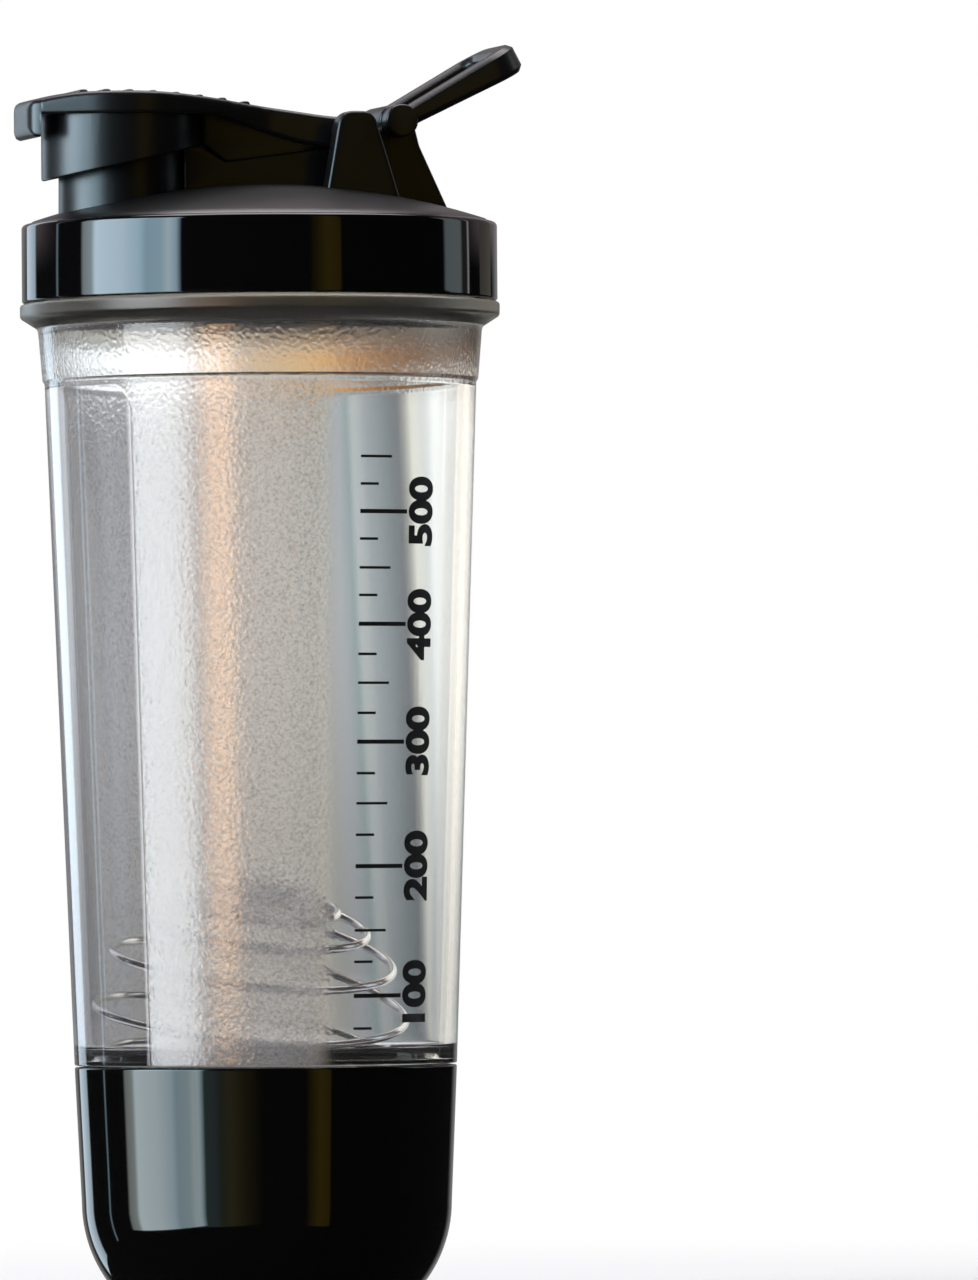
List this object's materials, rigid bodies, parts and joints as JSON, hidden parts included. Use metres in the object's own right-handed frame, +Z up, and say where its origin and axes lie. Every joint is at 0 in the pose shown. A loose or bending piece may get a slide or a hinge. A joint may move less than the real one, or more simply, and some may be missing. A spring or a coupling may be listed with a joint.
{
  "type": "protein shaker bottle",
  "caption": "Tall tapered shaker bottle with a screw lid, flip cap over a spout, folding carry loop, screw-on storage cup and a loose wire whisk ball.",
  "frame": {"origin": "centre of the flat face under the storage cup, where the bottle stands", "axes": "+Z up along the bottle's axis; -X towards the spout and the cap's thumb lip; +X towards the carry loop"},
  "size_m": [0.0985, 0.0928, 0.2436],
  "materials": {
    "clear_body": "clear, slightly smoky copolyester, glossy with fine frosted bands",
    "lid_black": "high-gloss collar, satin dome and spout",
    "cup_black": "high gloss",
    "cap_black": "satin",
    "loop_black": "satin",
    "silicone_grey": "matte silicone",
    "pin_steel": "blackened stainless",
    "whisk_steel": "polished stainless wire"
  },
  "bodies": {
    "bottle": {"bottle_body": "clear_body"},
    "lid_gasket_carrier": {"lid_gasket": "silicone_grey"},
    "lid": {"lid_shell": "lid_black", "cap_hinge_pin": "pin_steel", "loop_hinge_pin": "pin_steel"},
    "cap": {"flip_cap": "cap_black", "spout_seal_plug": "silicone_grey"},
    "loop": {"carry_loop": "loop_black"},
    "cup_ring_carrier": {"storage_seal_ring": "silicone_grey"},
    "cup": {"storage_cup": "cup_black"},
    "whisk": {"whisk_ball": "whisk_steel"}
  },
  "joints": [
    {"name": "lid_climb", "type": "slide", "parent": "bottle", "child": "lid_gasket_carrier", "axis": [0, 0, 1], "range_m": [0, 0.0151]},
    {"name": "lid_turn", "type": "hinge", "parent": "lid_gasket_carrier", "child": "lid", "pos_m": [0, 0, 0.2], "axis": [0, 0, 1], "range_deg": [0, 540]},
    {"name": "cap_flip", "type": "hinge", "parent": "lid", "child": "cap", "pos_m": [0.0152, 0, 0.2268], "axis": [0, 1, 0], "range_deg": [0, 110]},
    {"name": "loop_swing", "type": "hinge", "parent": "lid", "child": "loop", "pos_m": [0.0255, 0, 0.2289], "axis": [0, -1, 0], "range_deg": [-57, 33]},
    {"name": "cup_lower", "type": "slide", "parent": "bottle", "child": "cup_ring_carrier", "axis": [0, 0, -1], "range_m": [0, 0.0101]},
    {"name": "cup_turn", "type": "hinge", "parent": "cup_ring_carrier", "child": "cup", "pos_m": [0, 0, 0.04], "axis": [0, 0, -1], "range_deg": [0, 450]},
    {"name": "whisk_rise", "type": "slide", "parent": "bottle", "child": "whisk", "axis": [0, 0, 1], "range_m": [0, 0.11]}
  ],
  "couplings": [
    {"joint": "lid_climb", "follows": "lid_turn", "m_per_rad": 0.0015915},
    {"joint": "cup_lower", "follows": "cup_turn", "m_per_rad": 0.0012732}
  ]
}
